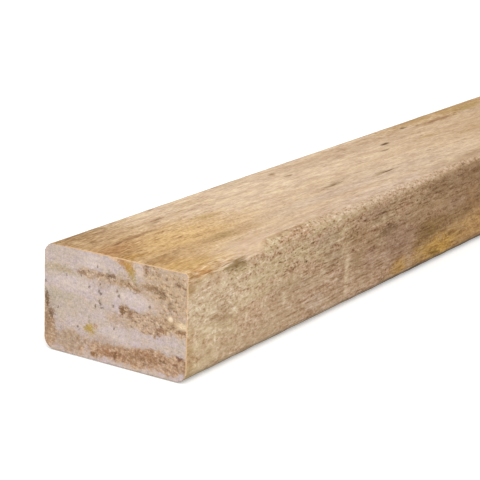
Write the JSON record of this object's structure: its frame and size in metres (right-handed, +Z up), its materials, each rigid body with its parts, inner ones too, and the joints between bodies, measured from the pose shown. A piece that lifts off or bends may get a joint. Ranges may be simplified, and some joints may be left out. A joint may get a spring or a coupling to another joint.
{
  "type": "hardwood joist",
  "caption": "Straight planed hardwood joist of rectangular section with rounded long edges and sealed sawn ends, to carry decking or floor boards.",
  "frame": {"origin": "middle of the underside, half way along the length", "axes": "+Y along the length, away from the near end; +X to the right across the wide face, seen from the near end; +Z up, from the underside to the top face"},
  "size_m": [0.07, 1.8, 0.045],
  "materials": {
    "hardwood": "planed and weathered, with a thin wax seal on the sawn ends"
  },
  "bodies": {
    "root": {"joist": "hardwood"}
  },
  "joints": []
}
